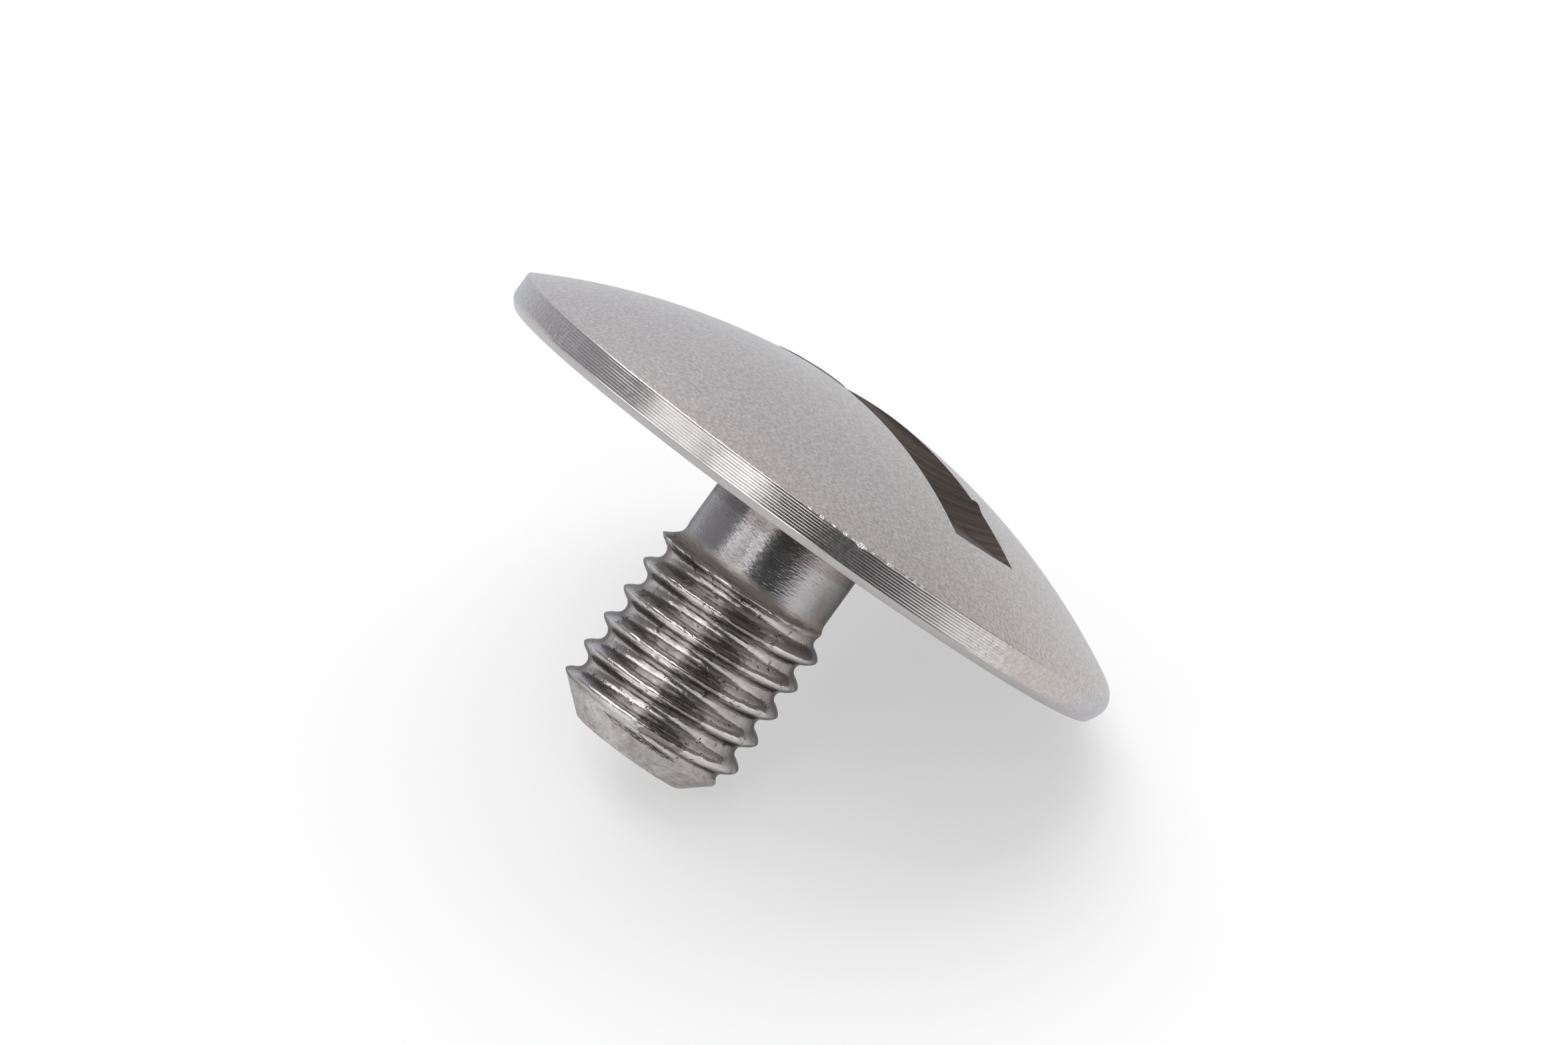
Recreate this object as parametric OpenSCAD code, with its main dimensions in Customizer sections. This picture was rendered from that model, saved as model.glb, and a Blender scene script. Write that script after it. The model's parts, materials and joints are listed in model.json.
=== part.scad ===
// Low-domed slotted screw, turned from one bar of steel, lying on its head's rim and its thread's end.
// Sizes are in millimetres. The screw is drawn along its own axis, with the head's underside at height 0
// and the crown of the dome above it, and is then laid down on the surface.

/* [Head] */
// Diameter of the head over its turned band
head_d = 21.4; // [16:0.1:30]
// Height of the straight turned band round the head
band_h = 0.8; // [0.4:0.05:2]
// Width of the bevel under the band, measured along the radius
bevel_w = 0.25; // [0.1:0.05:0.6]
// Height of the bevel under the band
bevel_h = 0.22; // [0.1:0.02:0.6]
// Rise of the dome above the band
dome_h = 2.83; // [1.5:0.01:4]

/* [Driver slot] */
// Width of the slot across the dome
slot_w = 2.7; // [1:0.05:5]
// Distance of the slot's middle from the axis, as the saw left it
slot_off = -0.1; // [-0.5:0.05:0.5]
// Depth of the slot's flat floor below the crown of the dome
slot_depth = 1.25; // [0.6:0.05:2.5]
// Direction of the slot about the axis, in degrees from the side that touches the surface
slot_turn = 84.5; // [0:0.5:180]

/* [Neck] */
// Diameter of the plain neck under the head
neck_d = 5.05; // [4:0.05:5.4]
// Length of the plain neck, from the head to the flare
neck_l = 2.2; // [1:0.05:4]
// Length of the hollow flare that joins the neck to the thread
flare_l = 0.65; // [0.4:0.05:1.2]
// Radius of the flare's hollow
flare_r = 1.45; // [1:0.05:4]

/* [Thread] */
// Outside diameter of the thread
thread_d = 6; // [5.8:0.05:7]
// Advance of the thread in one turn
thread_pitch = 1; // [0.7:0.05:1.25]
// Depth of the groove below the crest
thread_depth = 0.44; // [0.3:0.02:0.56]
// Flat left on the crest between two turns of the groove
crest_w = 0.16; // [0.06:0.01:0.2]
// Direction about the axis in which the groove runs out into the neck, in degrees
thread_turn = 178; // [0:1:360]

/* [Stud] */
// Length from the head's underside to the flat end
stud_l = 8.75; // [6:0.05:16]
// Height of the chamfer at the end
tip_h = 0.95; // [0.5:0.05:1.5]
// Diameter of the flat end
tip_d = 3.75; // [2.5:0.05:4.4]

/* [Hidden] */
$fn = 96;

// Overrun of a cutting shape past the solid that it cuts
overrun = 1;

// Radii and heights along the screw's axis
head_r = head_d / 2;
neck_r = neck_d / 2;
thread_r = thread_d / 2;
tip_r = tip_d / 2;
band_top = bevel_h + band_h;
crown = band_top + dome_h;
flare_top = -neck_l;
flare_bottom = flare_top - flare_l;
tip_top = -stud_l + tip_h;

// Sphere of the dome, through the band's upper edge and the crown
dome_r = (head_r * head_r + dome_h * dome_h) / (2 * dome_h);

// Centre of the flare's hollow arc, which runs from the neck's end to the thread's start
flare_rise = thread_r - neck_r;
flare_chord = norm([flare_rise, flare_l]);
flare_off = sqrt(flare_r * flare_r - flare_chord * flare_chord / 4) / flare_chord;
flare_centre = [
    (neck_r + thread_r) / 2 + flare_off * flare_l,
    (flare_top + flare_bottom) / 2 + flare_off * flare_rise
];

// Groove of the thread: two flanks at 60 degrees to each other, joined by a round root
flank = 30;
root_r = thread_r - thread_depth;
groove_w = thread_pitch - crest_w;
root_round = (groove_w / 2 - thread_depth * tan(flank)) / (cos(flank) - tan(flank) * sin(flank));
root_step = 30;
cutter_rise = 0.05;
cutter_half_w = groove_w / 2 + cutter_rise * tan(flank);
groove_profile = concat(
    [[thread_depth + cutter_rise, -cutter_half_w]],
    [for (a = [flank - 90 : root_step : 90 - flank]) [root_round * (1 - cos(a)), root_round * sin(a)]],
    [[thread_depth + cutter_rise, cutter_half_w]]
);

// Path of the groove, from its run-out above the thread to below the end of the stud
steps_per_turn = 36;
run_past = 0.6;
groove_turns = (stud_l - neck_l) / thread_pitch + run_past;
groove_steps = ceil(groove_turns * steps_per_turn);
run_out_steps = steps_per_turn / 4;
run_out_gap = 0.12;
run_out_lift = max(0, neck_r + run_out_gap - root_r);
function groove_turn(step) = thread_turn - step * 360 / steps_per_turn;
function groove_height(step) = flare_top - step * thread_pitch / steps_per_turn;
function groove_lift(step) = run_out_lift * max(0, 1 - step / run_out_steps);

// Corners of the profile that can touch the surface, as radius and height
rim_corners = [[head_r, bevel_h], [head_r - bevel_w, 0]];
tip_corners = [[thread_r, tip_top], [tip_r, -stud_l]];
far_corners = concat(rim_corners, tip_corners, [[head_r, band_top]]);

// Slope of the axis when the rim and the stud's end both touch the surface
function lean(rim, tip) = atan2(rim.x - tip.x, rim.y - tip.y);
axis_slope = min([for (t = tip_corners) max([for (r = rim_corners) lean(r, t)])]);

// Height of the axis at the head's underside, and the middle of the lying screw's length
rest_height = max([for (c = far_corners) c.x * cos(axis_slope) - c.y * sin(axis_slope)]);
rest_front = max([for (c = far_corners) c.y * cos(axis_slope) + c.x * sin(axis_slope)]);
rest_back = min([for (c = far_corners) c.y * cos(axis_slope) - c.x * sin(axis_slope)]);

// Sets a shape drawn along the axis down on the surface, with the head towards +X
module lay_down() {
    translate([-(rest_front + rest_back) / 2, 0, rest_height])
        rotate([0, 90 - axis_slope, 0])
            children();
}

// Half section of the turned blank, from its flat end up through the thread cylinder, flare, neck and head
module blank_profile() {
    difference() {
        polygon([
            [0, -stud_l], [tip_r, -stud_l],
            [thread_r, tip_top], [thread_r, flare_bottom],
            [neck_r, flare_top], [neck_r, 0],
            [head_r - bevel_w, 0], [head_r, bevel_h],
            [head_r, crown], [0, crown]
        ]);
        intersection() {
            translate([0, flare_bottom]) square([thread_r + overrun, flare_l]);
            translate(flare_centre) circle(r = flare_r);
        }
        difference() {
            translate([0, band_top]) square([head_r + overrun, dome_h + overrun]);
            translate([0, crown - dome_r]) circle(r = dome_r);
        }
    }
}

// Straight flat-floored slot, sawn right across the dome
module driver_slot() {
    rotate([0, 0, slot_turn])
        translate([-head_d, slot_off - slot_w / 2, crown - slot_depth])
            cube([2 * head_d, slot_w, slot_depth + overrun]);
}

// Cutter of the thread: the groove's profile swept down a right-hand helix
module thread_groove() {
    sides = len(groove_profile);
    points = [
        for (step = [0 : groove_steps], p = groove_profile)
            let (r = root_r + groove_lift(step) + p.x, turn = groove_turn(step))
                [r * cos(turn), r * sin(turn), groove_height(step) + p.y]
    ];
    walls = [
        for (step = [0 : groove_steps - 1], i = [0 : sides - 1])
            let (a = step * sides + i, b = step * sides + (i + 1) % sides)
                each [[a, b, b + sides], [a, b + sides, a + sides]]
    ];
    first_end = [for (i = [sides - 1 : -1 : 0]) i];
    last_end = [for (i = [0 : sides - 1]) groove_steps * sides + i];
    polyhedron(points, concat([first_end], walls, [last_end]));
}

module screw() {
    color([0.69, 0.68, 0.67])
        lay_down()
            difference() {
                rotate_extrude() blank_profile();
                driver_slot();
                thread_groove();
            }
}

screw();
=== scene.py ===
import json
import math

import bmesh
import bpy
import numpy as np
from mathutils import Matrix, Vector, noise


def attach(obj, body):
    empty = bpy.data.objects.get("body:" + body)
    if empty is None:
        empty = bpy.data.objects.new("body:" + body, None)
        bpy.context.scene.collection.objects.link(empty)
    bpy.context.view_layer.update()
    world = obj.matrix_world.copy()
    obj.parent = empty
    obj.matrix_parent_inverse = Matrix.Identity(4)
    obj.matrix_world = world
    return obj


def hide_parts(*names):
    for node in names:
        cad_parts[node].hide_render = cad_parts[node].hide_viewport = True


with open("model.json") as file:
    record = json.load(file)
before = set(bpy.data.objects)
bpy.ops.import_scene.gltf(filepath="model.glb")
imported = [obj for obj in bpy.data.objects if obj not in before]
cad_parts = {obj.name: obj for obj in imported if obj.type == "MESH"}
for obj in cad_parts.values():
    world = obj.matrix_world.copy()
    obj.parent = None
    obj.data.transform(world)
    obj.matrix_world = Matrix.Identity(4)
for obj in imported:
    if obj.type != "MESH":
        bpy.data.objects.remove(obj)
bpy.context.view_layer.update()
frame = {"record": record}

# Looks of a low-domed slotted screw: one closed steel mesh over the CAD node, on a pale floor in soft light.
# The mesh is made in the screw's own frame, in millimetres. Heights run along the axis, from 0 at the head's
# underside up to the crown of the dome, and azimuth 0 is the side that touches the floor.

MM = 0.001

# Head
HEAD_R = 10.7
BAND_H = 0.8
BEVEL_W = 0.25
BEVEL_H = 0.22
DOME_H = 2.83
BAND_TOP = BEVEL_H + BAND_H
CROWN = BAND_TOP + DOME_H
DOME_R = (HEAD_R**2 + DOME_H**2) / (2 * DOME_H)
DOME_CENTRE = CROWN - DOME_R

# Driver slot, which the saw left a little off the axis
SLOT_W = 2.7
SLOT_OFF = -0.1
SLOT_FLOOR = CROWN - 1.25
SLOT_TURN = math.radians(84.5)
SLOT_ALONG = Vector((math.cos(SLOT_TURN), math.sin(SLOT_TURN), 0))
SLOT_ACROSS = Vector((-math.sin(SLOT_TURN), math.cos(SLOT_TURN), 0))
SLOT_WALLS = (SLOT_OFF - SLOT_W / 2, SLOT_OFF + SLOT_W / 2)

# Neck, thread and end
NECK_R = 2.525
FLARE_TOP = -2.2
FLARE_END = -2.84
THREAD_R = 3.0
PITCH = 1.0
THREAD_DEPTH = 0.44
CREST_W = 0.16
THREAD_TURN = math.radians(178)
STUD_L = 8.75
TIP_H = 0.95
TIP_R = 1.875

# Mesh density
HEAD_SEGMENTS = 480
STUD_SEGMENTS = HEAD_SEGMENTS // 2
DOME_ROWS = 36
BAND_LINES = 9
ROWS_PER_LINE = 4
ROWS_PER_PITCH = 24
FILLET_ROWS = 4
NECK_ROWS = 9

# Material slots of the screw's mesh
DOME, BAND, BEVEL, UNDERSIDE, NECK, THREAD, TIP, SLOT, BURR = range(9)


def smooth_min(a, b, reach):
    """Smaller of two numbers, with the corner between them rounded over the given reach."""
    h = max(reach - abs(a - b), 0) / reach
    return min(a, b) - h * h * reach / 4


def smooth_step(low, high, value):
    """0 at low and 1 at high, with a soft start and end between them."""
    t = min(max((value - low) / (high - low), 0), 1)
    return t * t * (3 - 2 * t)


def fade(outer, inner):
    """Cosines of two angles in degrees, between which something that lies round an azimuth fades in."""
    return math.cos(math.radians(outer)), math.cos(math.radians(inner))


def dome_height(radius):
    return DOME_CENTRE + math.sqrt(DOME_R**2 - radius**2)


# Half outline of the head

# Rounding of the rim's upper edge, with the shares of it by which its middle ring lies in and up, and of the bevel's
# two edges
RIM_ROUND = 0.02
RIM_MIDDLE = (0.3, 0.55)
BEVEL_ROUND = 0.02

# Rings of the dome: the power that crowds them a little towards the rim, and the distances of two more rings from the
# rim. Radii of the underside's rings
DOME_SPREAD = 0.9
RINGS_INSIDE_RIM = (0.2, 0.1)
UNDERSIDE_RADII = (9.6, 8.0, 6.4, 4.8, 3.4)

# Turned lines on the rim: their depth, the unevenness of it, and the noise's scale round and along the axis
LINE_DEPTH = 0.009
LINE_UNEVEN = 0.3
LINE_NOISE = (6, 11)

# Wear of the rim's lower edge: its depth, and how far up and down it reaches
WORN_EDGE = 0.05
WORN_HEIGHT = 0.2

# Part of the rim that is still bright from turning, and the share of the lines' depth that is left elsewhere
BRIGHT_MIDDLE = math.radians(-146.6)
BRIGHT_FADE = fade(54, 41)
DULL_LINES = 0.3

# Side where the rim is rubbed round: wear of its upper edge, down, in and how far it reaches, and of its lower edge,
# in, the height where it starts and the power of its curve
RUBBED_MIDDLE = math.radians(-49)
RUBBED_FADE = fade(42, 14)
RUBBED_DROP = 0.09
RUBBED_IN = 0.10
RUBBED_REACH = 0.5
RUBBED_LOWER = 0.13
RUBBED_HEIGHT = 0.6
RUBBED_CURVE = 1.6

# Radius beyond which a ring carries the rim's wear
WORN_FROM = HEAD_R - RUBBED_REACH - 0.1

# A burr on the rim's upper edge: how far along the axis it reaches, the shares of its size by which the dome is set
# back and raised, and the smallest size that shows
BURR_REACH = 0.16
BURR_BACK = 0.7
BURR_RISE = 0.3
BURR_LEAST = 0.007

# Burrs that the tool broke out of the rim's upper edge: azimuth in degrees, half width and size
RIM_BURRS = (
    (221.625, 0.10, 0.014), (223.875, 0.10, 0.024), (226.125, 0.10, 0.012), (228.375, 0.10, 0.024),
    (229.875, 0.10, 0.012), (231.375, 0.15, 0.070), (233.625, 0.10, 0.012), (236.625, 0.10, 0.038),
    (237.375, 0.10, 0.030), (240.375, 0.10, 0.012), (241.875, 0.10, 0.014), (243.375, 0.10, 0.032),
)


def rim_brightness(azimuth):
    """1 where the rim still has its turned lines, 0 where the blasting has dulled it."""
    return smooth_step(*BRIGHT_FADE, math.cos(azimuth - BRIGHT_MIDDLE))


def rim_rubbed(azimuth):
    """1 where the rim's upper edge is rubbed round, 0 where it is still sharp."""
    return smooth_step(*RUBBED_FADE, math.cos(azimuth - RUBBED_MIDDLE))


def rim_burr(azimuth):
    """Size of the burr at an azimuth of the rim's upper edge."""
    largest = 0
    for place, half_width, size in RIM_BURRS:
        gap = math.remainder(azimuth - math.radians(place), math.tau) * HEAD_R
        largest = max(largest, size * math.exp(-((gap / half_width) ** 2)))
    return largest


def head_rows():
    """Radius, height, material and line dip of each ring, from the crown out and down to the neck."""
    edge = HEAD_R - RIM_ROUND
    radii = [edge * (i / DOME_ROWS) ** DOME_SPREAD for i in range(1, DOME_ROWS)]
    radii += [HEAD_R - inside for inside in RINGS_INSIDE_RIM] + [edge - RIM_ROUND, edge]
    rows = [(r, dome_height(r), DOME, 0) for r in radii]
    top, bottom = dome_height(HEAD_R) - RIM_ROUND, BEVEL_H + BEVEL_ROUND
    rows.append((HEAD_R - RIM_MIDDLE[0] * RIM_ROUND, top + RIM_MIDDLE[1] * RIM_ROUND, DOME, 0))
    count = BAND_LINES * ROWS_PER_LINE
    for i in range(count + 1):
        dip = LINE_DEPTH * math.sin(math.pi * i / ROWS_PER_LINE) ** 2
        rows.append((HEAD_R, top + (bottom - top) * i / count, BAND, dip))
    slope = BEVEL_W / BEVEL_H
    rows.append((HEAD_R - BEVEL_ROUND * slope, BEVEL_H - BEVEL_ROUND, BEVEL, 0))
    rows.append((HEAD_R - BEVEL_W / 2, BEVEL_H / 2, BEVEL, 0))
    rows.append((HEAD_R - BEVEL_W + BEVEL_ROUND, BEVEL_ROUND / slope, BEVEL, 0))
    rows.append((HEAD_R - BEVEL_W - BEVEL_ROUND, 0.0, BEVEL, 0))
    return rows + [(r, 0.0, UNDERSIDE, 0) for r in UNDERSIDE_RADII]


def head_ring(surface, r, z, dip):
    """One ring of the head, with the rim's lines, its worn edges and the burrs on its upper edge."""
    start = len(surface.points)
    upper = max(0, 1 - (HEAD_R - r if z > BAND_TOP else BAND_TOP - z) / RUBBED_REACH) ** 2
    lower = max(0, 1 - abs(z - BEVEL_H) / WORN_HEIGHT) ** 2
    if z < BEVEL_H:
        lower_rubbed = z / BEVEL_H
    else:
        lower_rubbed = max(0, (RUBBED_HEIGHT - z) / (RUBBED_HEIGHT - BEVEL_H)) ** RUBBED_CURVE
    for i in range(HEAD_SEGMENTS):
        a = math.tau * i / HEAD_SEGMENTS
        reach, height = r, z
        if r > WORN_FROM:
            bright, rubbed = rim_brightness(a), rim_rubbed(a)
            uneven = 1 + LINE_UNEVEN * noise.noise(Vector((LINE_NOISE[0] * a, LINE_NOISE[1] * z, 0)))
            reach -= dip * uneven * (DULL_LINES + (1 - DULL_LINES) * bright)
            worn = WORN_EDGE * (1 - bright) * (1 - rubbed)
            reach -= worn * lower + RUBBED_LOWER * rubbed * lower_rubbed
            burr = rim_burr(a) * max(0, 1 - abs(z - BAND_TOP) / BURR_REACH)
            if z > BAND_TOP:
                reach -= BURR_BACK * burr
                height = dome_height(reach) + BURR_RISE * burr
            else:
                height -= burr
            reach -= RUBBED_IN * rubbed * upper
            height -= RUBBED_DROP * rubbed * upper
        surface.points.append((reach * math.cos(a), reach * math.sin(a), height))
    return list(range(start, start + HEAD_SEGMENTS))


# Half outline and thread of the stud

# Fillet under the head, power of the flare's hollow curve, and rounding of the chamfer's upper edge
FILLET_R = 0.12
FLARE_CURVE = 3
CHAMFER_ROUND = 0.06

# Height where the rows that follow the helix begin, and the share of a row that is too thin to keep
THREAD_TOP = FLARE_TOP + 0.2
ROW_SNAP = 0.3

# Groove of the thread: two flanks, joined by a round root
FLANK = math.radians(30)
ROOT_R = THREAD_R - THREAD_DEPTH
GROOVE_W = PITCH - CREST_W
ROOT_ROUND = (GROOVE_W / 2 - THREAD_DEPTH * math.tan(FLANK)) / (math.cos(FLANK) - math.tan(FLANK) * math.sin(FLANK))

# Lift of the root: at the run-out, over a share of one turn and until it clears the neck by a gap, and on the chamfer,
# between two heights
RUN_OUT_TURN = 0.25
RUN_OUT_GAP = 0.12
RUN_OUT_LIFT = NECK_R + RUN_OUT_GAP - ROOT_R
END_LIFT = 0.14
END_FADE = (-STUD_L + TIP_H, -STUD_L + 0.5)

# Wear of the crests: their rounding, the depth of the dents, and the scale, threshold and share of two noises
CREST_ROUND = 0.22
CREST_DENT = 0.07
DENT_NOISES = ((1.9, 0.1, 1), (4.5, 0.15, 0.5))

# Heights where the look of the neck ends and that of the stud's end begins
NECK_LOOK = FLARE_END + 0.15
TIP_LOOK = -STUD_L + TIP_H - 0.1

# Radii of the rings on the flat end
END_RADII = (TIP_R - 0.03, 1.2, 0.6)


def blank_radius(z):
    """Radius of the turned stud before the thread is cut."""
    if z >= FLARE_TOP:
        return NECK_R
    if z >= FLARE_END:
        return NECK_R + (THREAD_R - NECK_R) * ((FLARE_TOP - z) / (FLARE_TOP - FLARE_END)) ** FLARE_CURVE
    chamfer = TIP_R + (THREAD_R - TIP_R) * (z + STUD_L) / TIP_H
    return smooth_min(THREAD_R, chamfer, CHAMFER_ROUND)


def groove_radius(z, azimuth):
    """Radius of the thread's groove at a height and azimuth, or a large number where there is no groove."""
    first = FLARE_TOP - ((THREAD_TURN - azimuth) % math.tau) / math.tau * PITCH
    index = round((first - z) / PITCH)
    if index < 0:
        return 2 * THREAD_R
    off = abs(z - (first - index * PITCH))
    past = (FLARE_TOP - (first - index * PITCH)) / PITCH
    root = ROOT_R + max(0, RUN_OUT_LIFT * (1 - past / RUN_OUT_TURN))
    root += END_LIFT * smooth_step(*END_FADE, z)
    bend = ROOT_ROUND * math.cos(FLANK)
    if off < bend:
        return root + ROOT_ROUND - math.sqrt(ROOT_ROUND**2 - off**2)
    return root + ROOT_ROUND * (1 - math.sin(FLANK)) + (off - bend) / math.tan(FLANK)


def crest_wear(z, azimuth):
    """How far the crests are knocked back at a height and azimuth."""
    spot = Vector((THREAD_R * math.cos(azimuth), THREAD_R * math.sin(azimuth), z))
    dents = sum(share * max(0, noise.noise(spot * scale) - least) for scale, least, share in DENT_NOISES)
    return CREST_DENT * dents * smooth_step(FLARE_TOP, FLARE_END, z)


def stud_radius(z, azimuth):
    return smooth_min(blank_radius(z) - crest_wear(z, azimuth), groove_radius(z, azimuth), CREST_ROUND)


class Surface:
    """Vertices, faces and face materials of the mesh that is being put together."""

    def __init__(self):
        self.points, self.faces, self.materials = [], [], []

    def ring(self, radius, height, segments):
        start = len(self.points)
        for i in range(segments):
            a = math.tau * i / segments
            self.points.append((radius * math.cos(a), radius * math.sin(a), height))
        return list(range(start, start + segments))

    def point(self, height):
        self.points.append((0, 0, height))
        return len(self.points) - 1

    def face(self, corners, material):
        """Adds a face, without the corners that coincide, if at least three are left."""
        kept = [c for i, c in enumerate(corners) if c != corners[i - 1]]
        if len(kept) >= 3:
            self.faces.append(kept)
            self.materials.append(material)

    def band(self, upper, lower, material):
        """Joins two rings of the same number of points."""
        n = len(upper)
        for i in range(n):
            j = (i + 1) % n
            self.face([upper[i], lower[i], lower[j], upper[j]], material)

    def halve(self, upper, lower, material):
        """Joins a ring to one with half as many points."""
        n = len(lower)
        for i in range(n):
            j = (i + 1) % n
            a, b, c = upper[2 * i], upper[2 * i + 1], upper[(2 * i + 2) % (2 * n)]
            self.face([a, lower[i], b], material)
            self.face([b, lower[i], lower[j]], material)
            self.face([b, lower[j], c], material)

    def fan(self, ring, tip, material, up):
        """Joins a ring to one point, with the faces turned up or down."""
        n = len(ring)
        for i in range(n):
            j = (i + 1) % n
            self.face([tip, ring[i], ring[j]] if up else [tip, ring[j], ring[i]], material)


def add_head(surface):
    """Dome, band, bevel and underside. Returns the underside's inner ring."""
    crown = surface.point(CROWN)
    last = None
    for r, z, material, dip in head_rows():
        ring = head_ring(surface, r, z, dip)
        if last is None:
            surface.fan(ring, crown, DOME, up=True)
        else:
            surface.band(last, ring, material)
        last = ring
    return last


def add_neck(surface, upper):
    """Fillet under the head and the plain neck. Returns the ring where the thread's rows begin."""
    last = surface.ring(NECK_R + FILLET_R, 0, STUD_SEGMENTS)
    surface.halve(upper, last, UNDERSIDE)
    rows = []
    for i in range(1, FILLET_ROWS + 1):
        a = math.pi / 2 * i / FILLET_ROWS
        rows.append((NECK_R + FILLET_R * (1 - math.sin(a)), -FILLET_R * (1 - math.cos(a))))
    for z in np.linspace(-FILLET_R, THREAD_TOP, NECK_ROWS + 1)[1:]:
        rows.append((NECK_R, z))
    for r, z in rows:
        ring = surface.ring(r, z, STUD_SEGMENTS)
        surface.band(last, ring, NECK)
        last = ring
    return last


def add_thread(surface, top):
    """Threaded stud, in rows that follow the helix. Returns its lowest ring."""
    step = PITCH / ROWS_PER_PITCH
    bottom = -STUD_L
    count = math.ceil((THREAD_TOP - bottom) / step) + ROWS_PER_PITCH
    columns = []
    for i in range(STUD_SEGMENTS + 1):
        azimuth = math.tau * i / STUD_SEGMENTS
        column = []
        for j in range(count + 1):
            z = THREAD_TOP + PITCH * azimuth / math.tau - j * step
            if z > THREAD_TOP - ROW_SNAP * step:
                z = THREAD_TOP
            elif z < bottom + ROW_SNAP * step:
                z = bottom
            column.append(z)
        columns.append(column)
    index = {}
    lowest = [None] * STUD_SEGMENTS

    def corner(i, z):
        """Number of the point at a column and height, which is made where it is first asked for."""
        i %= STUD_SEGMENTS
        key = (i, round(z, 6))
        if key not in index:
            if z == THREAD_TOP:
                index[key] = top[i]
            else:
                azimuth = math.tau * i / STUD_SEGMENTS
                r = stud_radius(z, azimuth)
                surface.points.append((r * math.cos(azimuth), r * math.sin(azimuth), z))
                index[key] = len(surface.points) - 1
                if z == bottom:
                    lowest[i] = index[key]
        return index[key]

    for i in range(STUD_SEGMENTS):
        left, right = columns[i], columns[i + 1]
        for j in range(count):
            corners = [corner(i, left[j]), corner(i, left[j + 1])]
            corners += [corner(i + 1, right[j + 1]), corner(i + 1, right[j])]
            middle = (left[j] + left[j + 1]) / 2
            surface.face(corners, NECK if middle > NECK_LOOK else TIP if middle < TIP_LOOK else THREAD)
    return lowest


def add_end(surface, last):
    """Flat end of the stud."""
    for r in END_RADII:
        ring = surface.ring(r, -STUD_L, STUD_SEGMENTS)
        surface.band(last, ring, TIP)
        last = ring
    surface.fan(last, surface.point(-STUD_L), TIP, up=False)


# Cutting of the driver slot

# Width of the strip beside each edge that is rolled over, reach of a cut that moves a point instead of adding one,
# the height above which a point is on the dome, and two small gaps for comparing heights and distances
EDGE_ROUND = 0.05
SNAP = 0.02
ON_DOME = BAND_TOP + 0.1
ABOVE = 1e-4
TOUCH = 1e-3

# Edges of the slot: how far they waver, how far they are rolled down, evenly and unevenly, and the scale, distance
# between the two sides, seed and share of two noises
EDGE_WAVER = 0.012
EDGE_ROLL = 0.008
EDGE_ROLL_UNEVEN = 0.010
EDGE_NOISES = ((5, 7, 0, 1), (13, 1, 5, 0.6))

# Flake that the saw left standing on the slot's far edge: its place along the slot, half length and height
FLAKE_PLACE = -4.35
FLAKE_HALF = 0.3
FLAKE_H = 0.09

# Thin burr that stands up along the slot's near edge: where it rises and falls along the slot, its height, the
# unevenness of it, and the share of it from which it looks like the slot's wall
EDGE_BURR_RISE = (0.2, 0.5)
EDGE_BURR_FALL = (4.4, 3.2)
EDGE_BURR_H = 0.03
EDGE_BURR_UNEVEN = 0.4
EDGE_BURR_DARK = 0.2


def bisect(bm, faces, origin, normal):
    geom = list({v for f in faces for v in f.verts}) + list({e for f in faces for e in f.edges}) + faces
    bmesh.ops.bisect_plane(bm, geom=geom, dist=SNAP, plane_co=origin, plane_no=normal)


def dome_faces(bm):
    return [f for f in bm.faces if f.material_index == DOME]


def mark_slot(bm):
    """Draws the slot's two edges, and a line just outside each of them, into the dome's faces."""
    for wall, out in zip(SLOT_WALLS, (-EDGE_ROUND, EDGE_ROUND)):
        for offset in (wall, wall + out):
            bisect(bm, dome_faces(bm), SLOT_ACROSS * offset, SLOT_ACROSS)
            for v in {v for f in dome_faces(bm) for v in f.verts}:
                gap = v.co.dot(SLOT_ACROSS) - offset
                if abs(gap) <= SNAP and v.co.z > ON_DOME:
                    v.co -= SLOT_ACROSS * gap
                    v.co.z = dome_height(math.hypot(v.co.x, v.co.y))


def cut_slot(bm):
    """Removes the dome between the slot's walls, and closes the slot with two walls and a floor."""
    mark_slot(bm)

    def strip():
        low, high = SLOT_WALLS
        return [f for f in dome_faces(bm) if low < f.calc_center_median().dot(SLOT_ACROSS) < high]

    bisect(bm, strip(), (0, 0, SLOT_FLOOR), (0, 0, 1))
    for v in {v for f in strip() for v in f.verts}:
        if abs(v.co.z - SLOT_FLOOR) <= SNAP:
            v.co.z = SLOT_FLOOR
    gone = [f for f in strip() if f.calc_center_median().z > SLOT_FLOOR + ABOVE]
    bmesh.ops.delete(bm, geom=gone, context="FACES")
    bmesh.ops.delete(bm, geom=[v for v in bm.verts if not v.link_faces], context="VERTS")

    rim = {v for e in bm.edges if e.is_boundary for v in e.verts}
    edges = []
    for wall in SLOT_WALLS:
        edge = [v for v in rim if abs(v.co.dot(SLOT_ACROSS) - wall) < TOUCH]
        edge.sort(key=lambda v: v.co.dot(SLOT_ALONG))
        bm.faces.new(edge).material_index = SLOT
        edges.append(edge)
    arcs = []
    for end in (1, -1):
        arc = [v for v in rim if abs(v.co.z - SLOT_FLOOR) < TOUCH and v.co.dot(SLOT_ALONG) * end > 0]
        arcs += sorted(arc, key=lambda v: v.co.dot(SLOT_ACROSS) * end)
    bm.faces.new(arcs).material_index = SLOT
    return edges


def edge_grain(along, side):
    """Unevenness of one of the slot's edges at a place along it."""
    return sum(
        share * noise.noise(Vector((along * scale, side * apart, seed)))
        for scale, apart, seed, share in EDGE_NOISES
    )


def edge_burr(along):
    """Share of the near edge's burr that stands at a place along the slot."""
    return min(smooth_step(*EDGE_BURR_RISE, along), smooth_step(*EDGE_BURR_FALL, along))


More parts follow.
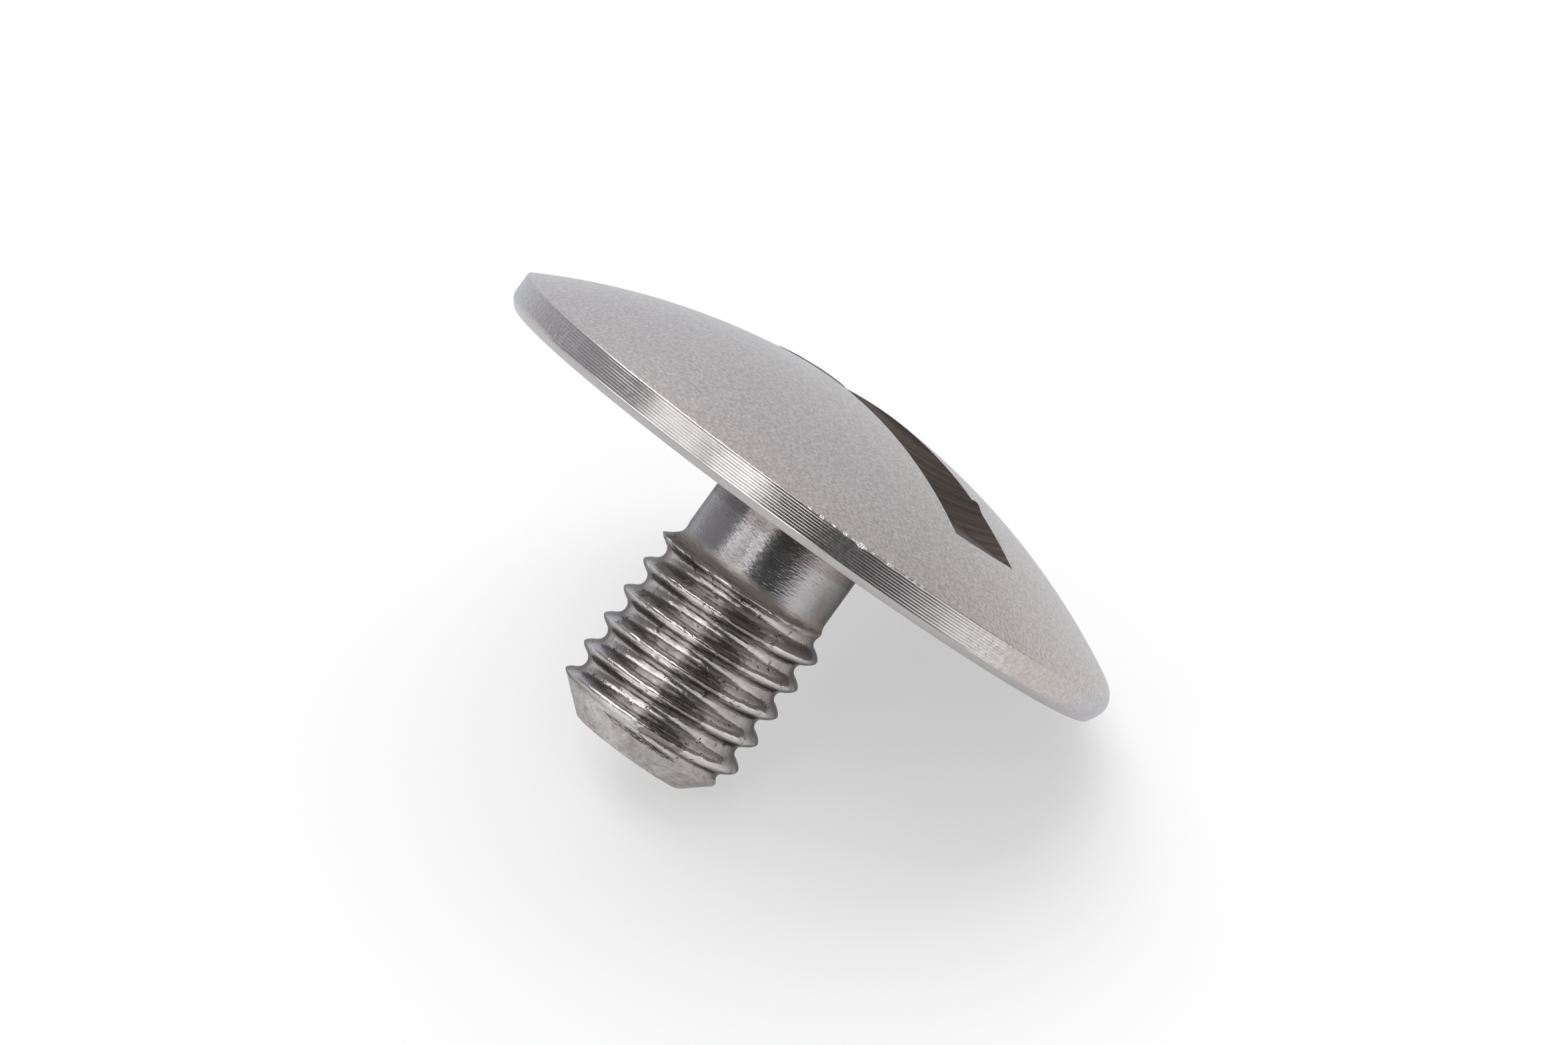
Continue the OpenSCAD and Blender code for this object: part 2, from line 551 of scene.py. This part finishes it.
def by_near_edge(face):
    return abs(face.calc_center_median().dot(SLOT_ACROSS) - SLOT_WALLS[1]) < EDGE_ROUND


def roughen_slot(edges):
    """Rolls the slot's long edges over, and leaves one flake on the far edge and a thin burr on the near edge."""
    for edge, inwards in zip(edges, (1, -1)):
        far = inwards == 1
        for v in edge[1:-1]:
            along = v.co.dot(SLOT_ALONG)
            grain = edge_grain(along, inwards)
            off_flake = abs(along - FLAKE_PLACE) / FLAKE_HALF
            if far and off_flake < 1:
                v.co.z += FLAKE_H * (1 - off_flake) ** 0.5
            v.co += SLOT_ACROSS * inwards * (EDGE_WAVER * grain)
            burr = 0 if far else edge_burr(along)
            v.co.z += burr * EDGE_BURR_H * (1 + EDGE_BURR_UNEVEN * grain)
            v.co.z -= (1 - burr) * (EDGE_ROLL + EDGE_ROLL_UNEVEN * abs(grain))
            if burr > EDGE_BURR_DARK:
                for f in v.link_faces:
                    if f.material_index == DOME and by_near_edge(f):
                        f.material_index = SLOT


def mark_burrs(bm):
    """Sets the material of the burrs on the rim's upper edge."""
    for f in bm.faces:
        x, y, z = f.calc_center_median()
        burr = rim_burr(math.atan2(y, x))
        on_edge = math.hypot(x, y) > HEAD_R - RIM_ROUND - burr and abs(z - BAND_TOP) < RIM_ROUND + burr
        if burr > BURR_LEAST and on_edge:
            f.material_index = BURR


def placement():
    """Where the screw lies: its axis and bearing face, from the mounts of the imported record."""
    mounts = {m["name"]: m for m in frame["record"]["mounts"]}
    axis = -Vector(mounts["thread"]["axis"]).normalized()
    on_axis = Vector(mounts["thread"]["pos_m"])
    face = Vector(mounts["head_underside"]["pos_m"])
    origin = on_axis + axis * (face - on_axis).dot(axis)
    down = Vector((0, 0, -1))
    contact = (down - axis * down.dot(axis)).normalized()
    side = axis.cross(contact)
    turn = Matrix((contact, side, axis)).transposed()
    return Matrix.Translation(origin) @ turn.to_4x4()


PLACE = placement()

# Faces that meet at a sharper angle than this keep a hard edge
HARD_EDGE = math.radians(38)


def build_screw():
    """The whole screw as one closed mesh, set down where it lies."""
    surface = Surface()
    inner = add_head(surface)
    top = add_neck(surface, inner)
    lowest = add_thread(surface, top)
    add_end(surface, lowest)
    mesh = bpy.data.meshes.new("turned_screw")
    mesh.from_pydata(surface.points, [], surface.faces)
    mesh.polygons.foreach_set("material_index", surface.materials)
    bm = bmesh.new()
    bm.from_mesh(mesh)
    mark_burrs(bm)
    roughen_slot(cut_slot(bm))
    bmesh.ops.triangulate(bm, faces=[f for f in bm.faces if len(f.verts) > 4])
    bmesh.ops.recalc_face_normals(bm, faces=bm.faces[:])
    bm.transform(PLACE @ Matrix.Scale(MM, 4))
    bm.to_mesh(mesh)
    bm.free()
    mesh.polygons.foreach_set("use_smooth", [True] * len(mesh.polygons))
    mesh.set_sharp_from_angle(angle=HARD_EDGE)
    return bpy.data.objects.new("turned_screw", mesh)


# Materials

# Colours of the steel, of what lies on it, and of the shade that is painted on it
DULL_STEEL = (0.47, 0.456, 0.452)
COOL_STEEL = (0.50, 0.51, 0.535)
WARM_STEEL = (0.540, 0.470, 0.420)
FLARE_STEEL = (0.56, 0.52, 0.49)
PALE_GRAIN = (0.795, 0.708, 0.645)
DARK_GRAIN = (0.418, 0.360, 0.322)
PALE_SPECK = (0.88, 0.86, 0.83)
# Near-white burr colours, partly painted highlight
PALE_BURR = (0.95, 0.93, 0.91)
DARK_BURR = (0.85, 0.83, 0.81)
PALE_SLOT = (0.36, 0.32, 0.297)
DARK_SLOT = (0.18, 0.155, 0.14)
# Painted shade in the rim's grooves
DARK_GROOVE_SHADE = (0.20, 0.18, 0.165)
DARK_STREAK = (0.24, 0.22, 0.205)
# Painted shade on the neck under the head
NECK_COLLAR_SHADE = (0.30, 0.265, 0.25)
# Painted shade on one side of the end
END_SHADE = (0.22, 0.20, 0.185)
# Dark grime in pits and dents, and painted shade down the sides and on the strip
GRIME_AND_PAINTED_SHADE = (0.12, 0.10, 0.085)
# Brown grime, also painted shade in the thread's roots
ROOT_GRIME_AND_SHADE = (0.48, 0.45, 0.435)

# Range in which most values of a noise lie
MOST = (0.3, 0.7)

# Blasted steel: grains to a millimetre, depths of the dimples and of the grain, roughness, and share of warm mottle
BLAST_PER_MM = 9
DIMPLE_DEPTH = 0.010
GRAIN_DEPTH = 0.012
BLAST_ROUGH = (0.33, 0.44)
MOTTLE_SHARE = (0.45, 0.65)

# Pits in turned steel: how many to a millimetre, how ragged they are, the share of their size that is darkest, the
# width of their soft edge, the share of grime in them, and their depth
PITS_PER_MM = 2.6
PIT_RAGGED = 0.12
PIT_CORE = 0.6
PIT_EDGE = 0.05
PIT_GRIME = 0.85
PIT_DEPTH = 0.012

# Rim: share of cool steel in its dull part, and for the dark lines of painted shade in the grooves of its bright part,
# the power that narrows them and their least and most share
COOL_SHARE = 0.32
LINE_POWER = 4.0
LINE_SHARE = (0.15, 0.50)

# Neck: heights between which the look of the flare fades in, the flare's roughness, and the heights between which the
# painted shade under the head, a darker brownish band, fades in and its share
FLARE_FADE = (FLARE_TOP + 0.05, FLARE_TOP - 0.25)
FLARE_ROUGH = 0.45
NECK_COLLAR_SHADE_FADE = (-1.0, -0.93)
NECK_COLLAR_SHADE_SHARE = 0.6

# Thread: radii over which its roots turn into its crests, for the brown grime and painted shade in the roots and for
# the strip of painted shade, the share of the brown that is left on the crests, the range of its share from patch to
# patch, and the dents' grime and depth
ROOT_FADE = (2.58, 2.90)
CREST_FADE = (2.66, 2.82)
CREST_BROWN = 0.2
PATCH_BROWN = (0.6, 1.0)
DENT_GRIME = 0.6
DENT_DEPTH = 0.01

# End: shares of its dark streaks and of its pale specks, and height of the specks
STREAK_SHARE = 0.5
SPECK_SHARE = 0.6
SPECK_HEIGHT = 0.006

# Dark strip of painted shade down one side of the thread and its end, where they mirror a dark front and the floor's
# shadow near the end: its azimuth, and the cosines between which it fades in and its share on each
SHADE_STRIP_SIDE = math.radians(-128)
CREST_SHADE_STRIP_FADE = fade(20, 7)
CREST_SHADE_STRIP_SHARE = 0.75
END_SHADE_STRIP_FADE = (0.90, 1.01)
END_SHADE_STRIP_SHARE = 0.45

# Sides of the thread and of the neck that are darkened with painted shade, for darker reflections on those sides, to
# match the photo's tones: azimuth, where each fades in, and share of the dark colour
THREAD_SHADE_SIDE = math.radians(-183)
THREAD_SHADE_SIDE_FADE = fade(20, 6)
THREAD_SHADE_SIDE_SHARE = 0.32
NECK_SHADE_SIDE = math.radians(-72)
NECK_SHADE_SIDE_FADE = fade(34, 8)
NECK_SHADE_SIDE_SHARE = 0.38

# Burrs: roughness, and depth of their grain
BURR_ROUGH = 0.18
BURR_GRAIN = 0.05

# Slot: height of the centre of the saw, whose arcs show on its walls, roughness, and depth of the saw's lines
SAW_CENTRE = CROWN + 16
SLOT_ROUGH = (0.45, 0.35)
SLOT_GRAIN = 0.01


def set_input(tree, value, socket):
    """Links a socket's value to an input, or sets the input to a constant."""
    if isinstance(value, bpy.types.NodeSocket):
        tree.links.new(value, socket)
    elif isinstance(value, tuple) and socket.type == "RGBA":
        socket.default_value = (*value, 1)
    else:
        socket.default_value = value


def add_node(tree, kind, *inputs, **settings):
    """Adds a node with its settings, and with values or links for its first inputs."""
    node = tree.nodes.new(kind)
    for key, value in settings.items():
        setattr(node, key, value)
    for value, socket in zip(inputs, node.inputs):
        set_input(tree, value, socket)
    return node


class Shader:
    """One procedural material, in the screw's own frame and in millimetres, with short calls for its nodes."""

    def __init__(self, name, edge=(1.0, 1.0, 1.0)):
        """The edge colour is what the metal keeps of its gloss at a grazing angle."""
        self.material = bpy.data.materials.new(name)
        self.material.use_nodes = True
        self.tree = self.material.node_tree
        self.bsdf = self.tree.nodes["Principled BSDF"]
        self.bsdf.inputs["Metallic"].default_value = 1
        self.bsdf.inputs["Specular Tint"].default_value = (*edge, 1)
        place = self.node("ShaderNodeTexCoord").outputs["Object"]
        own = self.node("ShaderNodeMapping", place, vector_type="TEXTURE")
        own.inputs["Location"].default_value = PLACE.translation
        own.inputs["Rotation"].default_value = PLACE.to_euler()
        own.inputs["Scale"].default_value = (MM, MM, MM)
        self.place = own.outputs[0]
        x, y, self.z = self.node("ShaderNodeSeparateXYZ", self.place).outputs
        self.radius = self.vector("LENGTH", self.point(x, y))
        self.azimuth = self.math("ARCTAN2", y, x)

    def link(self, value, socket):
        set_input(self.tree, value, socket)

    def node(self, kind, *inputs, **settings):
        return add_node(self.tree, kind, *inputs, **settings)

    def math(self, operation, a, b=0.0):
        return self.node("ShaderNodeMath", a, b, operation=operation).outputs[0]

    def plus(self, a, b):
        return self.math("ADD", a, b)

    def minus(self, a, b):
        return self.math("SUBTRACT", a, b)

    def times(self, a, b):
        return self.math("MULTIPLY", a, b)

    def vector(self, operation, a, b=(0, 0, 0)):
        """A number from one or two vectors."""
        return self.node("ShaderNodeVectorMath", a, b, operation=operation).outputs["Value"]

    def point(self, x=0.0, y=0.0, z=0.0):
        return self.node("ShaderNodeCombineXYZ", x, y, z).outputs[0]

    def unrolled(self, stretch, along):
        """Place on the unrolled surface, from the azimuth times a stretch and the distance along it."""
        return self.point(self.times(self.azimuth, stretch), 0.0, along)

    def facing(self, azimuth):
        """Cosine of the angle round the axis from the given azimuth."""
        out = (math.cos(azimuth), math.sin(azimuth), 0)
        return self.math("DIVIDE", self.vector("DOT_PRODUCT", self.place, out), self.radius)

    def noise(self, per_mm, detail=2.0, seed=0.0, place=None):
        n = self.node("ShaderNodeTexNoise", noise_dimensions="4D")
        self.link(place or self.place, n.inputs["Vector"])
        n.inputs["W"].default_value = seed
        n.inputs["Scale"].default_value = per_mm
        n.inputs["Detail"].default_value = detail
        return n.outputs["Fac"]

    def cells(self, per_mm):
        """Distance to the nearest of points that are scattered through the metal."""
        n = self.node("ShaderNodeTexVoronoi")
        self.link(self.place, n.inputs["Vector"])
        n.inputs["Scale"].default_value = per_mm
        return n.outputs["Distance"]

    def span(self, value, low, high, out_low=0.0, out_high=1.0):
        """Smooth step from one number to another as the value goes from low to high."""
        n = self.node("ShaderNodeMapRange", value, low, high, out_low, out_high, interpolation_type="SMOOTHSTEP")
        return n.outputs[0]

    def waver(self, value, amount, per_mm, seed=0.0):
        """A value that a noise moves up and down by up to the given amount."""
        return self.plus(value, self.span(self.noise(per_mm, detail=3, seed=seed), *MOST, -amount, amount))

    def mix(self, share, a, b):
        """Colour or number between a and b."""
        numbers = not any(isinstance(v, tuple) or getattr(v, "type", "") == "RGBA" for v in (a, b))
        n = self.node("ShaderNodeMix", data_type="FLOAT" if numbers else "RGBA")
        first = 2 if numbers else 6
        for value, socket in ((share, n.inputs[0]), (a, n.inputs[first]), (b, n.inputs[first + 1])):
            self.link(value, socket)
        return n.outputs[0 if numbers else 2]

    def finish(self, colour, roughness, height):
        """Wires the material up. The height of the surface's relief is in millimetres."""
        bump = self.node("ShaderNodeBump")
        self.link(height, bump.inputs["Height"])
        bump.inputs["Strength"].default_value = 1
        bump.inputs["Distance"].default_value = MM
        self.link(bump.outputs["Normal"], self.bsdf.inputs["Normal"])
        self.link(colour, self.bsdf.inputs["Base Color"])
        self.link(roughness, self.bsdf.inputs["Roughness"])
        return self.material


def blasted_finish(s):
    """Colour, roughness and relief of bead-blasted steel: fine dimples and a warm mottle."""
    grain = s.noise(BLAST_PER_MM, detail=3)
    fine = s.noise(30, detail=1, seed=3)
    mottle = s.noise(2.5, detail=3, seed=4)
    colour = s.mix(s.span(grain, 0.32, 0.68), DARK_GRAIN, PALE_GRAIN)
    colour = s.mix(s.span(mottle, *MOST, *MOTTLE_SHARE), colour, WARM_STEEL)
    rough = s.span(fine, *MOST, *BLAST_ROUGH)
    relief = s.plus(s.times(s.cells(BLAST_PER_MM), DIMPLE_DEPTH), s.times(grain, GRAIN_DEPTH))
    return colour, rough, relief


def turned_finish(s, along, bright, dull, rough, line_depth, pit_size):
    """Colour, roughness and relief of turned steel: fine lines round the axis, stains and pits."""
    lines = s.noise(18, place=s.unrolled(0.5, along))
    stain = s.noise(1.1, detail=4, seed=2)
    worn = s.noise(7, detail=3, seed=7)
    ragged = s.plus(s.cells(PITS_PER_MM), s.times(worn, PIT_RAGGED))
    pit = s.span(ragged, pit_size * PIT_CORE, pit_size + PIT_EDGE, 1, 0)
    colour = s.mix(s.span(stain, 0.42, 0.66), bright, dull)
    colour = s.mix(s.times(pit, PIT_GRIME), colour, GRIME_AND_PAINTED_SHADE)
    roughness = s.span(worn, *MOST, *rough)
    relief = s.minus(s.times(lines, line_depth), s.times(pit, PIT_DEPTH))
    return colour, roughness, relief


def blasted_dome():
    s = Shader("blasted_dome", edge=(0.84, 0.925, 1.0))
    return s.finish(*blasted_finish(s))


def turned_band():
    """Rim with a tool line in every groove, darkened by painted shade, dulled by the blasting outside its bright part.
    """
    s = Shader("turned_band", edge=(0.80, 0.89, 1.0))
    colour, rough, relief = turned_finish(
        s, s.z, bright=(0.75, 0.73, 0.72), dull=(0.66, 0.64, 0.63), rough=(0.18, 0.26), line_depth=0.0, pit_size=0.04
    )
    # Painted shade: a dark line in each groove of the rim's bright part.
    top, bottom = BAND_TOP - RIM_ROUND, BEVEL_H + BEVEL_ROUND
    turn = s.times(s.minus(top, s.z), math.pi * BAND_LINES / (top - bottom))
    groove = s.math("POWER", s.math("SINE", turn), LINE_POWER)
    scratch = s.span(s.noise(3, place=s.unrolled(6.0, s.z)), *MOST, *LINE_SHARE)
    colour = s.mix(s.times(groove, scratch), colour, DARK_GROOVE_SHADE)
    bright = s.span(s.waver(s.facing(BRIGHT_MIDDLE), 0.05, per_mm=5), *BRIGHT_FADE)
    dull_colour, dull_rough, dull_relief = blasted_finish(s)
    colour = s.mix(bright, s.mix(COOL_SHARE, dull_colour, COOL_STEEL), colour)
    return s.finish(colour, s.mix(bright, dull_rough, rough), s.mix(bright, dull_relief, relief))


def plain_bevel():
    s = Shader("plain_bevel")
    return s.finish(*turned_finish(
        s, s.z, bright=DULL_STEEL, dull=(0.45, 0.435, 0.435), rough=(0.30, 0.38), line_depth=0.001, pit_size=0.04
    ))


# The underside's dark colour is painted shade: it stands for the shadow under the head, and the flare mirrors it dark.
def faced_underside():
    s = Shader("faced_underside")
    return s.finish(*turned_finish(
        s, s.radius, bright=(0.30, 0.285, 0.28), dull=(0.24, 0.225, 0.22), rough=(0.30, 0.40), line_depth=0.006,
        pit_size=0.06
    ))


def polished_neck():
    """Bright neck, with painted shade in a darker brownish band where it meets the head, and painted shade down one
    side.
    """
    s = Shader("polished_neck", edge=(0.35, 0.35, 0.36))
    colour, rough, relief = turned_finish(
        s, s.z, bright=(0.47, 0.459, 0.461), dull=(0.41, 0.398, 0.397), rough=(0.20, 0.26), line_depth=0.018,
        pit_size=0.06
    )
    flare = s.span(s.z, *FLARE_FADE)
    rough = s.mix(flare, rough, FLARE_ROUGH)
    colour = s.mix(flare, colour, FLARE_STEEL)
    # Painted shade: a darker, brownish band just under the head, where the head shades the neck.
    stain = s.span(s.waver(s.z, 0.04, per_mm=2, seed=9), *NECK_COLLAR_SHADE_FADE, 0, NECK_COLLAR_SHADE_SHARE)
    colour = s.mix(stain, colour, NECK_COLLAR_SHADE)
    # Painted shade down one side of the neck.
    colour = s.mix(s.span(s.facing(NECK_SHADE_SIDE), *NECK_SHADE_SIDE_FADE, 0, NECK_SHADE_SIDE_SHARE), colour, GRIME_AND_PAINTED_SHADE)
    return s.finish(colour, rough, relief)


def cut_thread():
    """Thread with bright crests, brown grime and painted shade in its roots, a strip of painted shade on its crests
    and painted shade down one side.
    """
    s = Shader("cut_thread", edge=(0.22, 0.22, 0.23))
    colour, rough, relief = turned_finish(
        s, s.z, bright=(0.79, 0.765, 0.755), dull=(0.69, 0.665, 0.655), rough=(0.16, 0.24), line_depth=0.010,
        pit_size=0.10
    )
    # Brown grime in the roots, which also stands as painted shade in the hollows.
    root = s.span(s.radius, *ROOT_FADE, 1, CREST_BROWN)
    patch = s.span(s.noise(1.7, detail=4, seed=11), 0.36, 0.62, *PATCH_BROWN)
    colour = s.mix(s.times(patch, root), colour, ROOT_GRIME_AND_SHADE)
    dent = s.span(s.noise(4, seed=13), 0.60, 0.72)
    colour = s.mix(s.times(dent, DENT_GRIME), colour, GRIME_AND_PAINTED_SHADE)
    relief = s.minus(relief, s.times(dent, DENT_DEPTH))
    # Painted shade: a dark strip on the crests down one side.
    strip = s.span(s.waver(s.facing(SHADE_STRIP_SIDE), 0.02, per_mm=5, seed=17), *CREST_SHADE_STRIP_FADE, 0, CREST_SHADE_STRIP_SHARE)
    colour = s.mix(s.times(strip, s.span(s.radius, *CREST_FADE)), colour, GRIME_AND_PAINTED_SHADE)
    # Painted shade down one side of the thread.
    colour = s.mix(s.span(s.facing(THREAD_SHADE_SIDE), *THREAD_SHADE_SIDE_FADE, 0, THREAD_SHADE_SIDE_SHARE), colour, GRIME_AND_PAINTED_SHADE)
    return s.finish(colour, rough, relief)


def chamfered_end():
    """Satin end with dark tool streaks and bright specks, and with the strip of painted shade on one side."""
    s = Shader("chamfered_end", edge=(0.6, 0.6, 0.6))
    colour, rough, relief = turned_finish(
        s, s.z, bright=(0.58, 0.555, 0.545), dull=(0.47, 0.44, 0.43), rough=(0.18, 0.26), line_depth=0.022,
        pit_size=0.08
    )
    streaks = s.noise(9, detail=4, seed=23, place=s.unrolled(1.2, s.z))
    colour = s.mix(s.span(streaks, 0.46, 0.66, 0, STREAK_SHARE), colour, DARK_STREAK)
    specks = s.span(s.noise(8, detail=3, seed=29), 0.60, 0.70)
    colour = s.mix(s.times(specks, SPECK_SHARE), colour, PALE_SPECK)
    relief = s.plus(relief, s.times(specks, SPECK_HEIGHT))
    # Painted shade: a dark strip down one side of the end.
    strip = s.span(s.waver(s.facing(SHADE_STRIP_SIDE), 0.04, per_mm=3, seed=19), *END_SHADE_STRIP_FADE, 0, END_SHADE_STRIP_SHARE)
    colour = s.mix(strip, colour, END_SHADE)
    return s.finish(colour, rough, relief)


def raw_burr():
    """Fresh torn metal, in a near-white colour that is partly painted highlight, so that the burrs show as glints."""
    s = Shader("raw_burr")
    grain = s.noise(20)
    return s.finish(s.mix(grain, PALE_BURR, DARK_BURR), BURR_ROUGH, s.times(grain, BURR_GRAIN))


def sawn_slot():
    """Dark walls of the slot, with the arcs that the saw left, and its floor, with lines along the cut."""
    s = Shader("sawn_slot", edge=(0.3, 0.3, 0.3))
    along = s.vector("DOT_PRODUCT", s.place, tuple(SLOT_ALONG))
    across = s.vector("DOT_PRODUCT", s.place, tuple(SLOT_ACROSS))
    reach = s.vector("LENGTH", s.point(along, s.minus(s.z, SAW_CENTRE)))
    lines = s.noise(9, detail=3, place=s.point(reach, s.times(across, 2.0)))
    colour = s.mix(s.span(lines, 0.35, 0.65), DARK_SLOT, PALE_SLOT)
    return s.finish(colour, s.span(lines, *MOST, *SLOT_ROUGH), s.times(lines, SLOT_GRAIN))


def add_materials(obj):
    """Fills the material slots, in the order of their numbers."""
    for make in (
        blasted_dome, turned_band, plain_bevel, faced_underside,
        polished_neck, cut_thread, chamfered_end, sawn_slot, raw_burr,
    ):
        obj.data.materials.append(make())


# Stage

# Camera: where it stands, the photo's scale and width, how far right of and above the picture's middle the head's
# bearing face is centred, in millimetres, the width of the sensor, and the range of distances that show
CAMERA_AZIMUTH = math.radians(-35.7)
CAMERA_ELEVATION = math.radians(36.4)
CAMERA_DISTANCE = 0.4
PIXELS_PER_MM = 50.7
IMAGE_W = 2352
OFF_RIGHT, OFF_UP = 0.507, 0.282
SENSOR = 36.0
CLIP = (0.01, 20)

# Floor: size and number of sides, the share that shows as plain white, and how it dims from near to far
FLOOR_RADIUS = 3
FLOOR_SIDES = 96
FLOOR_GLOW = 0.5
FLOOR_CENTRE = (0.02, 0.04, 0)
FLOOR_NEAR, FLOOR_FAR = 0.076, 0.15
FLOOR_PALE, FLOOR_DIM = 0.92, 0.52


def direction(azimuth, elevation):
    """Unit vector towards an azimuth and elevation, where azimuth 0 is the side that faces -Y."""
    return Vector((
        math.sin(azimuth) * math.cos(elevation),
        -math.cos(azimuth) * math.cos(elevation),
        math.sin(elevation),
    ))


# Room light: the direction of its dim front, and the colour at each cosine of the angle from there
ROOM_FRONT = direction(math.radians(-45), math.radians(12))
ROOM_STEPS = (
    (-1.0, (0.84, 0.91, 1.04)),
    (-0.55, (0.55, 0.57, 0.62)),
    (-0.35, (0.39, 0.385, 0.41)),
    (-0.1, (0.33, 0.32, 0.34)),
    (0.2, (0.30, 0.29, 0.31)),
    (0.45, (0.25, 0.243, 0.255)),
    (0.65, (0.085, 0.083, 0.085)),
    (1.0, (0.07, 0.07, 0.07)),
)

# Softboxes round the screw's axis, in degrees from the side that faces the camera: name, from and to
# round the axis, from and to above the plane of the head, and radiance
SOFTBOXES = (
    ("far_softbox", -60, -35, -20, 12, 1.1),
    ("near_softbox", -32, -14, -20, 12, 1.5),
    ("front_softbox", -32, 6, 12, 30, 1.7),
)
SOFTBOX_DISTANCE = 0.6

# Wide softbox overhead
TOP_TOWARDS = Vector((0.08, 0.25, 1))
TOP_ALONG = Vector((1, 0, 0))
TOP_DISTANCE = 0.8
TOP_SIZE = (0.9, 0.9)
TOP_RADIANCE = 2.2


def add_camera(bearing):
    """Camera at the photo's viewing angle, placed by the centre of the head's bearing face."""
    back = direction(CAMERA_AZIMUTH, CAMERA_ELEVATION)
    right = Vector((math.cos(CAMERA_AZIMUTH), math.sin(CAMERA_AZIMUTH), 0))
    up = back.cross(right)
    target = bearing - right * OFF_RIGHT * MM - up * OFF_UP * MM
    data = bpy.data.cameras.new("camera")
    data.sensor_width = SENSOR
    data.lens = CAMERA_DISTANCE / MM * SENSOR * PIXELS_PER_MM / IMAGE_W
    data.clip_start, data.clip_end = CLIP
    camera = bpy.data.objects.new("camera", data)
    camera.location = target + back * CAMERA_DISTANCE
    camera.rotation_euler = (-back).to_track_quat("-Z", "Y").to_euler()
    bpy.context.scene.collection.objects.link(camera)
    bpy.context.scene.camera = camera


def add_softbox(name, towards, distance, along, size, radiance):
    """Area lamp that faces the screw, with its width along the given direction."""
    data = bpy.data.lights.new(name, "AREA")
    data.shape = "RECTANGLE"
    data.size, data.size_y = size
    data.energy = radiance * math.pi * size[0] * size[1]
    lamp = bpy.data.objects.new(name, data)
    z = towards.normalized()
    x = (along - z * along.dot(z)).normalized()
    y = z.cross(x)
    lamp.matrix_world = Matrix.Translation(z * distance) @ Matrix((x, y, z)).transposed().to_4x4()
    bpy.context.scene.collection.objects.link(lamp)


def add_floor():
    """Pale floor that dims a little away from the screw, and partly shows as plain white."""
    mesh = bpy.data.meshes.new("floor")
    bm = bmesh.new()
    bmesh.ops.create_circle(bm, cap_ends=True, segments=FLOOR_SIDES, radius=FLOOR_RADIUS)
    bm.to_mesh(mesh)
    bm.free()
    floor = bpy.data.objects.new("floor", mesh)
    bpy.context.scene.collection.objects.link(floor)
    material = bpy.data.materials.new("pale_floor")
    material.use_nodes = True
    tree = material.node_tree
    tree.nodes.clear()

    def add(kind, *inputs, **settings):
        return add_node(tree, kind, *inputs, **settings).outputs

    place = add("ShaderNodeTexCoord")["Object"]
    away = add("ShaderNodeVectorMath", place, FLOOR_CENTRE, operation="DISTANCE")["Value"]
    dim = add("ShaderNodeMapRange", away, FLOOR_NEAR, FLOOR_FAR, 1.0, FLOOR_DIM / FLOOR_PALE)[0]
    paper = add("ShaderNodeBsdfDiffuse", add("ShaderNodeMath", dim, FLOOR_PALE, operation="MULTIPLY")[0])[0]
    glow = add("ShaderNodeEmission", dim, 1.0)[0]
    path = add("ShaderNodeLightPath")
    seen = add("ShaderNodeMath", path["Is Camera Ray"], path["Is Glossy Ray"], operation="ADD", use_clamp=True)[0]
    seen = add("ShaderNodeMath", seen, path["Is Transmission Ray"], operation="ADD", use_clamp=True)[0]
    share = add("ShaderNodeMath", seen, FLOOR_GLOW, operation="MULTIPLY")[0]
    add("ShaderNodeOutputMaterial", add("ShaderNodeMixShader", share, paper, glow)[0])
    floor.data.materials.append(material)


def add_world():
    """Soft room light: dim in front, on the camera's side, and brighter towards the far side."""
    world = bpy.data.worlds.new("room")
    bpy.context.scene.world = world
    world.use_nodes = True
    tree = world.node_tree
    background = tree.nodes["Background"]
    place = add_node(tree, "ShaderNodeTexCoord").outputs["Generated"]
    facing = add_node(tree, "ShaderNodeVectorMath", place, ROOM_FRONT, operation="DOT_PRODUCT").outputs["Value"]
    share = add_node(tree, "ShaderNodeMapRange", facing, -1, 1, 0, 1).outputs[0]
    ramp = add_node(tree, "ShaderNodeValToRGB", share)
    stops = ramp.color_ramp.elements
    while len(stops) < len(ROOM_STEPS):
        stops.new(0.5)
    for stop, (cosine, colour) in zip(stops, ROOM_STEPS):
        stop.position = (cosine + 1) / 2
        stop.color = (*colour, 1)
    tree.links.new(ramp.outputs["Color"], background.inputs["Color"])
    background.inputs["Strength"].default_value = 1


def add_lights(turn):
    """Softboxes at the camera's left, which the rim and the neck mirror, and a wide one overhead."""
    axis = turn @ Vector((0, 0, 1))
    back = direction(CAMERA_AZIMUTH, CAMERA_ELEVATION)
    front = (back - axis * back.dot(axis)).normalized()
    right = axis.cross(front)
    for name, start, stop, low, high, radiance in SOFTBOXES:
        middle, lift = math.radians((start + stop) / 2), math.radians((low + high) / 2)
        out = front * math.cos(middle) + right * math.sin(middle)
        along = right * math.cos(middle) - front * math.sin(middle)
        width = 2 * SOFTBOX_DISTANCE * math.tan(math.radians(stop - start) / 2)
        height = 2 * SOFTBOX_DISTANCE * math.tan(math.radians(high - low) / 2)
        towards = out * math.cos(lift) + axis * math.sin(lift)
        add_softbox(name, towards, SOFTBOX_DISTANCE, along, (width, height), radiance)
    add_softbox("top_softbox", TOP_TOWARDS, TOP_DISTANCE, TOP_ALONG, TOP_SIZE, TOP_RADIANCE)


screw = build_screw()
bpy.context.scene.collection.objects.link(screw)
add_materials(screw)
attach(screw, "root")
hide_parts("screw")

add_camera(PLACE.translation)
add_floor()
add_world()
add_lights(PLACE.to_3x3())
bpy.context.scene.view_settings.view_transform = "Standard"
